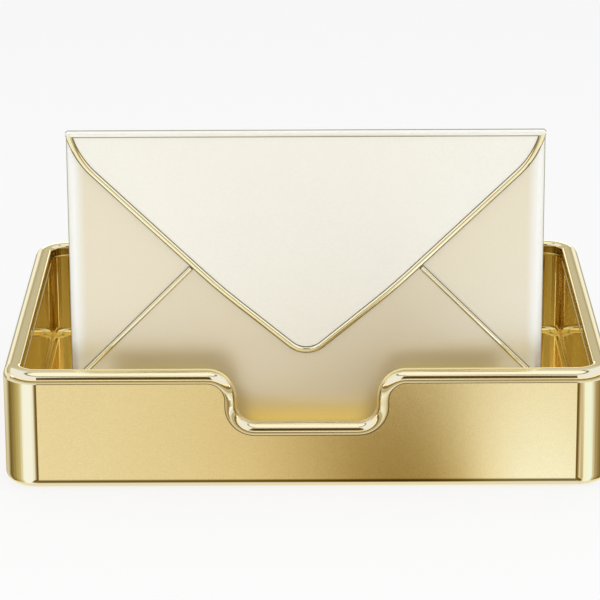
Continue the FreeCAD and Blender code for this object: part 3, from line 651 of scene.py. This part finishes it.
def seen_directly(tree):
    """1 for rays from the camera, from reflections and from clear materials, 0 for the others."""
    rays = add(tree, "ShaderNodeLightPath")
    sees = combine(tree, "MAXIMUM", rays.outputs["Is Camera Ray"], rays.outputs["Is Glossy Ray"])
    return combine(tree, "MAXIMUM", sees, rays.outputs["Is Transmission Ray"])


def choose_shader(tree, factor, first, second):
    choose = add(tree, "ShaderNodeMixShader")
    join(tree, factor, choose.inputs["Fac"])
    join(tree, first, choose.inputs[1])
    join(tree, second, choose.inputs[2])
    return choose.outputs["Shader"]


def matt_floor():
    material, tree = empty_material("studio_floor")
    shaded = add(tree, "ShaderNodeBsdfDiffuse", {"Color": grey(SHADOW_SHARE)})
    even = add(tree, "ShaderNodeEmission",
               {"Color": grey(FLOOR_TONE), "Strength": 1.0 - SHADOW_SHARE})
    shown = add(tree, "ShaderNodeAddShader")
    join(tree, shaded.outputs["BSDF"], shown.inputs[0])
    join(tree, even.outputs["Emission"], shown.inputs[1])
    paint = add(tree, "ShaderNodeBsdfDiffuse", {"Color": grey(0.8)})
    surface = choose_shader(tree, seen_directly(tree), paint.outputs["BSDF"],
                            shown.outputs["Shader"])
    join(tree, surface, add(tree, "ShaderNodeOutputMaterial").inputs["Surface"])
    return material


bpy.ops.mesh.primitive_plane_add(size=FLOOR_SIZE)
floor = bpy.context.object
floor.name = "floor"
floor.data.materials.append(matt_floor())
floor.visible_glossy = False
print("floor:", tuple(floor.dimensions))

# %% [markdown]
# ## The room
#
# Above the floor the room has the floor's own pale tone, so no horizon shows. The light that
# it gives to everything is plain and soft.


# %% The room
def make_room(light=0.6):
    world = bpy.data.worlds.new("room")
    world.use_nodes = True
    tree = world.node_tree
    tree.nodes.clear()
    ambient = add(tree, "ShaderNodeBackground", {"Color": grey(1.0), "Strength": light})
    shown = add(tree, "ShaderNodeBackground", {"Color": grey(FLOOR_TONE), "Strength": 1.0})
    surface = choose_shader(tree, seen_directly(tree), ambient.outputs["Background"],
                            shown.outputs["Background"])
    join(tree, surface, add(tree, "ShaderNodeOutputWorld").inputs["Surface"])
    return world


scene.world = make_room()
print("room:", scene.world.name)

# %% [markdown]
# ## Softboxes
#
# Softboxes light what is satin or matt: the sheets, the panels and the rubber. They are large,
# so that no shadow is hard. Polished gold doesn't mirror them; that is the work of the tent
# that follows. A softbox is given by where it stands, what it faces, its size and how bright
# its cloth is.


# %% Softboxes
def aim(position, target):
    """A rotation that turns a lamp at one point to face another."""
    return (Vector(target) - Vector(position)).to_track_quat("-Z", "Y").to_euler()


def softbox(name, position, target, width, height, glow):
    """A lamp behind a cloth. The same glow looks equally bright on a cloth of any size."""
    lamp = bpy.data.lights.new(name, "AREA")
    lamp.shape = "RECTANGLE"
    lamp.size = width
    lamp.size_y = height
    lamp.energy = glow * width * height * math.pi
    box = bpy.data.objects.new(name, lamp)
    box.location = position
    box.rotation_euler = aim(position, target)
    box.visible_camera = False
    box.visible_glossy = False
    scene.collection.objects.link(box)
    print("softbox:", name, "glow", glow)


softbox("overhead_box", (0.0, 0.3, 1.6), (0.0, 0.0, 0.05), 1.8, 1.4, 0.8)
softbox("left_box", (-1.5, -1.0, 0.9), (0.0, 0.0, 0.08), 0.9, 1.2, 1.2)
softbox("right_box", (1.5, -0.9, 0.8), (0.0, 0.0, 0.05), 0.9, 1.2, 1.6)
softbox("front_box", (0.0, -2.2, 1.1), (0.0, 0.0, 0.10), 1.8, 1.2, 4.2)

# %% [markdown]
# ## Light cloth
#
# Everything that only reflections should see is a sheet of light cloth: a mesh with colours
# painted on its corners, which shines with them and throws neither light nor shadow on
# anything that isn't a mirror. It belongs to the stage and isn't part of the model.


# %% Light cloth
def glow_material(name):
    """Light cloth that shines with the colours painted on its mesh."""
    material, tree = empty_material(name)
    material.cycles.emission_sampling = "NONE"
    paint = add(tree, "ShaderNodeVertexColor", layer_name="glow")
    glow = add(tree, "ShaderNodeEmission", {"Strength": 1.0})
    join(tree, paint.outputs["Color"], glow.inputs["Color"])
    join(tree, glow.outputs["Emission"], add(tree, "ShaderNodeOutputMaterial").inputs["Surface"])
    return material


def reflected_only(name, points, faces, colors):
    """A sheet of light cloth that only reflections see."""
    mesh = bpy.data.meshes.new(name)
    mesh.from_pydata(points, [], faces)
    paint = mesh.color_attributes.new("glow", "FLOAT_COLOR", "POINT")
    paint.data.foreach_set("color", [value for color in colors for value in (*color, 1.0)])
    mesh.materials.append(glow_material(name))
    cloth = bpy.data.objects.new(name, mesh)
    scene.collection.objects.link(cloth)
    for rays in ("camera", "diffuse", "shadow", "transmission", "volume_scatter"):
        setattr(cloth, "visible_" + rays, False)
    print("cloth:", name, len(faces), "faces")
    return cloth


def grid_faces(rows, columns):
    return [
        (r * columns + c, r * columns + c + 1, (r + 1) * columns + c + 1, (r + 1) * columns + c)
        for r in range(rows - 1) for c in range(columns - 1)
    ]


print("helpers:", [helper.__name__ for helper in (glow_material, reflected_only, grid_faces)])

# %% [markdown]
# ## Light tent
#
# Polished gold has no look of its own: it shows what stands round it. A studio builds a tent
# of pale cloth round it, and hangs dark and warm cards in it where the metal needs a line.
# Here the tent is one large sphere, coloured point by point from a list of panels, and a later
# panel covers an earlier one. The low front panels draw the lines along the front rim. The two
# windows, each with a dark frame above it, light the rounded corners and the notch. Only
# reflections see the tent, so it changes nothing else.

# %% Light tent
TENT_RADIUS = 4.0
TENT_BASE = (0.90, 0.90, 0.90)
# name, from and to round the object (0 = front, 90 = right), from and to above the horizon,
# softness of its edges in degrees, colour
PANELS = [
    ("front_haze", -100, 100, 0, 6, 3, (0.56, 0.48, 0.30)),
    ("front_thread", -100, 100, 9.5, 18, 2.0, (0.24, 0.18, 0.08)),
    ("front_line", -100, 100, 20.5, 25, 2.0, (1.25, 1.10, 0.88)),
    ("front_mid", -100, 100, 28, 40, 2.5, (0.36, 0.29, 0.16)),
    ("front_shade", -100, 100, 37, 53, 4, (0.40, 0.34, 0.20)),
    ("front_dark", -17, 17, 35, 53, 3, (0.07, 0.045, 0.005)),
    ("left_spark", -100, -88, 16, 18, 2.0, (2.1, 2.3, 3.6)),
    ("right_spark", 88, 100, 16, 18, 2.0, (2.1, 2.3, 3.6)),
    ("back_low", 120, 240, -60, -6, 3, (0.98, 0.90, 0.62)),
    ("back_line", 120, 240, -26, -6, 2, (0.42, 0.42, 0.33)),
    ("back_dim", 120, 240, 3, 30, 3, (0.54, 0.51, 0.42)),
    ("back_strip", 120, 240, 0, 9, 2.5, (1.05, 1.03, 0.90)),
    ("back_gleam", 168, 192, 0, 9, 2.5, (2.40, 2.25, 1.75)),
    ("back_mid", 120, 240, 13, 30, 3, (0.62, 0.58, 0.46)),
    ("back_thread", 120, 240, 11, 13.5, 1.5, (0.40, 0.36, 0.24)),
    ("back_soft", 100, 260, 34, 66, 4, (0.73, 0.73, 0.70)),
    ("left_window", -150, -13, 28, 61, 3, (0.97, 1.04, 1.30)),
    ("right_window", 13, 150, 28, 61, 3, (0.97, 1.04, 1.30)),
    ("left_frame", -150, -10, 64, 68, 2, (0.16, 0.12, 0.05)),
    ("right_frame", 10, 150, 64, 68, 2, (0.16, 0.12, 0.05)),
    ("overhead", -180, 180, 70, 89, 4, (1.20, 1.20, 1.25)),
]


def box_weight(value, low, high, soft):
    """1 between low and high, falling smoothly to 0 over the softness outside."""
    rise = np.clip((value - low + soft) / soft, 0, 1)
    fall = np.clip((high + soft - value) / soft, 0, 1)
    inside = np.minimum(rise, fall)
    return inside * inside * (3 - 2 * inside)


def tent_colors(around, above):
    """Colours of the tent in many directions, both angles in degrees."""
    colors = np.tile(TENT_BASE, (len(around), 1))
    for _, a_low, a_high, e_low, e_high, soft, tone in PANELS:
        middle = (a_low + a_high) / 2
        turned = (around - middle + 180) % 360 - 180 + middle
        weight = box_weight(turned, a_low, a_high, soft) * box_weight(above, e_low, e_high, soft)
        colors += (np.array(tone) - colors) * weight[:, None]
    return colors


def make_tent(step=2):
    turns = np.arange(-180, 181, step)
    rises = np.arange(-90, 91, step)
    around, above = (grid.ravel() for grid in np.meshgrid(turns, rises))
    a, e = np.radians(around), np.radians(above)
    points = TENT_RADIUS * np.stack([np.cos(e) * np.sin(a), -np.cos(e) * np.cos(a), np.sin(e)], 1)
    faces = grid_faces(len(rises), len(turns))
    reflected_only("light_tent", points.tolist(), faces, tent_colors(around, above).tolist())


make_tent()

# %% [markdown]
# ## A card in front of the tray
#
# The satin front looks down at the table just ahead of it. One card lies there, painted from
# pale through warm gold to pale again, and gives the front its slow change from side to side.

# %% A card in front of the tray
# place from side to side, colour close to the tray
FRONT_CARD = [
    (-0.30, (0.90, 0.90, 0.90)),
    (-0.12, (0.97, 0.99, 1.02)),
    (-0.06, (0.90, 0.88, 0.82)),
    (-0.03, (0.85, 0.80, 0.70)),
    (0.00, (0.66, 0.58, 0.42)),
    (0.025, (0.44, 0.35, 0.19)),
    (0.045, (0.36, 0.28, 0.13)),
    (0.060, (0.42, 0.34, 0.18)),
    (0.075, (0.64, 0.58, 0.42)),
    (0.090, (1.04, 1.06, 1.12)),
    (0.105, (1.12, 1.30, 1.75)),
    (0.15, (1.12, 1.30, 1.75)),
    (0.30, (0.90, 0.90, 0.90)),
]


def make_front_card(near=-0.1165, far=-0.36, height=0.0005, far_depth=1.35):
    """The card's colours deepen with distance, most where they are dark."""
    points = []
    colors = []
    for y, depth, caps in ((near, 1.0, (2.0, 2.0, 2.0)), (far, far_depth, (1.06, 1.12, 1.25))):
        for x, color in FRONT_CARD:
            points.append((x, y, height))
            colors.append([min(channel, most) ** depth for channel, most in zip(color, caps)])
    reflected_only("front_card", points, grid_faces(2, len(FRONT_CARD)), colors)


make_front_card()

# %% [markdown]
# ## Cards beside the front corners
#
# The polished corners see the table to the left and right of the tray. A fan of card beside
# each of them, bright next to the front and warm and dim further round, draws their upright
# stripes.

# %% Cards beside the front corners
CORNER_X = TRAY_HIGH.x - CORNER_RADIUS
CORNER_Y = TRAY_LOW.y + CORNER_RADIUS
# angle from straight ahead in degrees, colour
LEFT_FAN = [
    (10, (0.98, 0.97, 1.01)), (24, (1.05, 1.15, 1.40)), (50, (1.05, 1.15, 1.40)),
    (58, (0.82, 0.79, 0.67)), (66, (0.61, 0.54, 0.32)), (75, (0.51, 0.45, 0.21)),
    (86, (0.38, 0.30, 0.13)), (98, (0.28, 0.21, 0.08)), (107, (0.17, 0.12, 0.03)),
    (116, (0.34, 0.29, 0.15)), (123, (0.64, 0.60, 0.47)), (140, (0.93, 0.92, 0.88)),
    (175, (0.59, 0.46, 0.21)),
]
RIGHT_FAN = [
    (10, (0.98, 0.93, 0.80)), (20, (0.60, 0.49, 0.31)), (30, (1.05, 1.12, 1.17)),
    (51, (0.98, 1.19, 1.41)), (62, (0.74, 0.69, 0.55)), (70, (0.46, 0.36, 0.22)),
    (82, (0.32, 0.24, 0.12)), (91, (0.22, 0.17, 0.06)), (107, (0.17, 0.12, 0.03)),
    (123, (0.64, 0.60, 0.47)), (140, (0.93, 0.92, 0.88)), (175, (0.59, 0.46, 0.21)),
]


def make_corner_fan(name, side, stops, start=0.0005, reach=0.205, height=0.0009):
    """A fan of card round one front corner. Each ray is one direction that the corner shows."""
    points = []
    colors = []
    for length in (start, reach):
        for angle, color in stops:
            ray = math.radians(angle)
            foot = ray / 2  # metal that mirrors this ray is turned half as far
            x = CORNER_X + CORNER_RADIUS * math.sin(foot) + length * math.sin(ray)
            y = CORNER_Y - CORNER_RADIUS * math.cos(foot) - length * math.cos(ray)
            points.append((side * x, y, height))
            colors.append(color)
    reflected_only(name, points, grid_faces(2, len(stops)), colors)


make_corner_fan("left_fan", -1, LEFT_FAN)
make_corner_fan("right_fan", 1, RIGHT_FAN)

# %% [markdown]
# ## Cloth that shows only close by
#
# The next two strips stand inside the tray, where walls and floor could mirror them as well.
# They are clear from behind, and clear to anything further away than 30 mm, so they show to
# the one edge that they are meant for. Nothing of them shows when the case is lifted out.

# %% Cloth that shows only close by
NEAR = 0.03


def show_near(cloth, reach):
    """Let a sheet of light cloth show only from its front, and only to metal close to it."""
    tree = cloth.data.materials[0].node_tree
    side = add(tree, "ShaderNodeNewGeometry")
    path = add(tree, "ShaderNodeLightPath")
    clear = add(tree, "ShaderNodeBsdfTransparent")
    output = next(node for node in tree.nodes if node.type == "OUTPUT_MATERIAL")
    glow = next(node for node in tree.nodes if node.type == "EMISSION")
    far = combine(tree, "GREATER_THAN", path.outputs["Ray Length"], reach)
    hidden = combine(tree, "MAXIMUM", side.outputs["Backfacing"], far)
    surface = choose_shader(tree, hidden, glow.outputs["Emission"], clear.outputs["BSDF"])
    join(tree, surface, output.inputs["Surface"])
    print(cloth.name, "faces", tuple(cloth.data.polygons[0].normal))


print("strips show within", NEAR, "m")

# %% [markdown]
# ## Glowing strip in the gap
#
# Between the front wall and the case there is a slot only 15 mm wide, and it would go dark.
# A strip of light cloth stands against the inside of the wall and faces the case, glowing in
# the gold that the wall would show, so the satin sheets mirror it softly: a painted reflection,
# seen as a warm glow along their lower edge. It is cut out round the notch like the wall, and
# darker tones in it draw a painted shade at the notch's corners.

# %% Glowing strip in the gap
GLOW_STRIP_Y = TRAY_LOW.y + 0.0091  # just clear of the wall
# from the side to the middle: place, height of the top edge, which of the four tones below
HALF_GLOW_STRIP = [
    (0.1145, 0.0585, 0), (0.1135, 0.0585, 0), (0.109, 0.0585, 1), (0.098, 0.0585, 1),
    (0.091, 0.0585, 0), (0.047, 0.0585, 0), (0.038, 0.0485, 0), (0.0325, 0.0400, 3),
    (0.0265, 0.0335, 2),
]
GLOW_STRIP_STOPS = [(-x, top, tone) for x, top, tone in HALF_GLOW_STRIP] + HALF_GLOW_STRIP[::-1]
# depth below the top edge; tones beside the notch, where the seams end, under the notch and
# at the notch's lower corners
GLOW_STRIP_ROWS = [
    (0.0190, ((0.80, 0.60, 0.01), (0.92, 0.88, 0.70), (1.10, 0.80, 0.02), (0.34, 0.21, 0.01))),
    (0.0108, ((0.80, 0.60, 0.01), (0.92, 0.88, 0.70), (1.10, 0.80, 0.02), (0.34, 0.21, 0.01))),
    (0.0070, ((0.14, 0.09, 0.00), (0.70, 0.66, 0.50), (0.90, 0.63, 0.01), (0.26, 0.16, 0.00))),
    (0.0035, ((0.18, 0.12, 0.00), (0.70, 0.66, 0.50), (0.60, 0.40, 0.00), (0.24, 0.15, 0.00))),
    (0.0000, ((0.36, 0.29, 0.08), (0.70, 0.66, 0.50), (0.70, 0.56, 0.25), (0.50, 0.38, 0.14))),
]


# painted reflection: a glowing strip in the wall's gold, with painted shade at the notch
def make_glow_strip():
    points = [(x, GLOW_STRIP_Y, top - drop) for drop, _ in GLOW_STRIP_ROWS for x, top, _ in GLOW_STRIP_STOPS]
    colors = [tones[tone] for _, tones in GLOW_STRIP_ROWS for _, _, tone in GLOW_STRIP_STOPS]
    glow_strip = reflected_only("gap_glow", points, grid_faces(len(GLOW_STRIP_ROWS), len(GLOW_STRIP_STOPS)), colors)
    glow_strip.data.flip_normals()
    show_near(glow_strip, NEAR)


make_glow_strip()

# %% [markdown]
# ## Strip for the top of the rim
#
# The flat top of the front rim looks across the gap at the lower edge of the sheets, which
# is the darkest part of the case. A narrow pale strip in front of that edge keeps the rim
# bright.

# %% Strip for the top of the rim
STRIP_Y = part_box("flap_trim")[0].y - 0.0008  # just clear of the flap's bead
STRIP_HALF = 0.1145
# height, colour
STRIP_ROWS = [
    (0.0560, (0.95, 0.88, 0.60)), (0.0640, (0.95, 0.88, 0.60)), (0.0740, (0.78, 0.76, 0.62)),
]


def make_strip():
    points = [(x, STRIP_Y, z) for z, _ in STRIP_ROWS for x in (-STRIP_HALF, STRIP_HALF)]
    colors = [tone for _, tone in STRIP_ROWS for _ in range(2)]
    strip = reflected_only("rim_strip", points, grid_faces(len(STRIP_ROWS), 2), colors)
    show_near(strip, NEAR)


make_strip()

# %% [markdown]
# ## Camera
#
# A long lens from a little above the tray keeps its sides almost parallel. The position, the
# lens and the angles were worked out from the tray's own size. The camera looks down 17.3
# degrees, with a trace of turn and of roll.

# %% Camera
CAMERA_PLACE = (0.00134, -1.5766, 0.5521)
CAMERA_DIP = math.radians(17.292)
CAMERA_ROLL = math.radians(-0.282)
CAMERA_TURN = math.radians(0.170)
IMAGE_WIDTH = 600
FOCAL_PIXELS = 3219.6  # focal length, measured in pixels of a picture that wide

lens = bpy.data.cameras.new("camera")
lens.sensor_width = 36.0
lens.lens = lens.sensor_width * FOCAL_PIXELS / IMAGE_WIDTH
lens.clip_start = 0.05
camera = bpy.data.objects.new("camera", lens)
turn = (Matrix.Rotation(CAMERA_TURN, 4, "Z") @ Matrix.Rotation(math.pi / 2 - CAMERA_DIP, 4, "X")
        @ Matrix.Rotation(CAMERA_ROLL, 4, "Z"))
camera.matrix_world = Matrix.Translation(CAMERA_PLACE) @ turn
scene.collection.objects.link(camera)
scene.camera = camera
print("lens:", round(lens.lens, 2), "mm")
